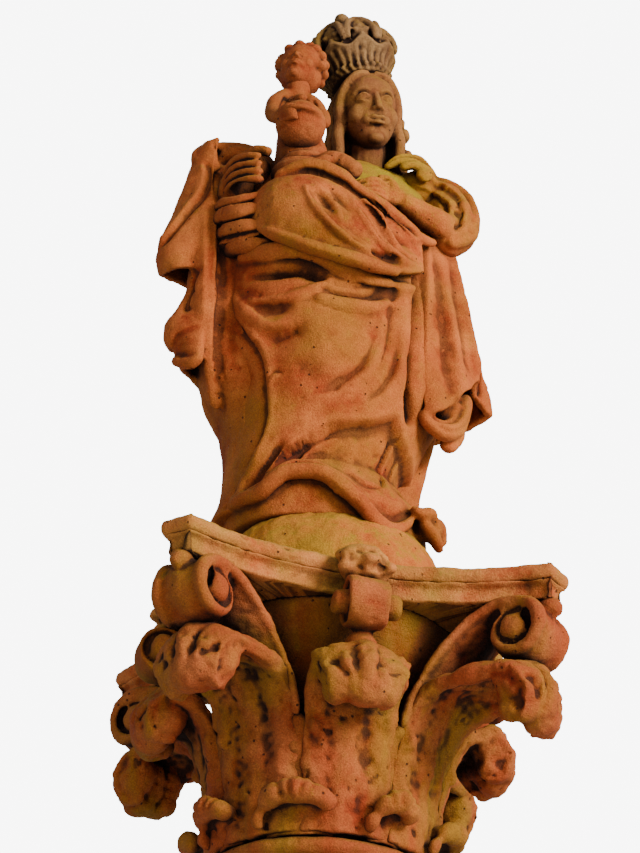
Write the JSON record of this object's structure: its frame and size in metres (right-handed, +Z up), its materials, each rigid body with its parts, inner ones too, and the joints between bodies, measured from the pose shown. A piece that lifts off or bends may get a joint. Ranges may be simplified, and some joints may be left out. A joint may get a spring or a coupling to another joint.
{
  "type": "wayside column with a statue",
  "caption": "Red sandstone wayside column: stepped pedestal, round shaft, leaf capital with volutes, and a crowned woman in a wide cloak holding a child.",
  "frame": {"origin": "on the ground, on the column's axis, under the middle of the lower step", "axes": "+Z up along the column; the figure and the capital's front face look towards -Y, +X is at the viewer's right"},
  "size_m": [1.4, 1.4, 5.0156],
  "materials": {
    "pedestal_stone": "weathered tooled sandstone",
    "shaft_stone": "weathered dressed sandstone",
    "capital_stone": "weathered carved sandstone with lichen",
    "figure_stone": "weathered carved sandstone with lichen"
  },
  "bodies": {
    "root": {"step_lower": "pedestal_stone", "step_upper": "pedestal_stone", "pedestal_plinth": "pedestal_stone", "pedestal_foot_moulding": "pedestal_stone", "pedestal_die": "pedestal_stone", "pedestal_cornice": "pedestal_stone", "column_base_block": "shaft_stone", "column_base": "shaft_stone", "shaft_drum_lower": "shaft_stone", "shaft_drum_upper": "shaft_stone", "neck_ring": "capital_stone", "capital_bell": "capital_stone", "lower_leaves": "capital_stone", "face_leaf_front": "capital_stone", "face_leaf_right": "capital_stone", "face_leaf_back": "capital_stone", "face_leaf_left": "capital_stone", "corner_leaf_front_right": "capital_stone", "corner_leaf_back_right": "capital_stone", "corner_leaf_back_left": "capital_stone", "corner_leaf_front_left": "capital_stone", "volute_front_right": "capital_stone", "volute_back_right": "capital_stone", "volute_back_left": "capital_stone", "volute_front_left": "capital_stone", "face_scrolls": "capital_stone", "face_flowers": "capital_stone", "abacus_band": "capital_stone", "abacus_roll": "capital_stone", "mound": "figure_stone", "skirt": "figure_stone", "mantle_front": "figure_stone", "waist_folds": "figure_stone", "torso": "figure_stone", "cloak_left": "figure_stone", "cloak_right": "figure_stone", "cloak_back": "figure_stone", "right_sleeve_and_hand": "figure_stone", "left_arm": "figure_stone", "child_cloth": "figure_stone", "child_body": "figure_stone", "child_globe": "figure_stone", "child_head": "figure_stone", "head_and_neck": "figure_stone", "crown": "figure_stone"}
  },
  "joints": []
}
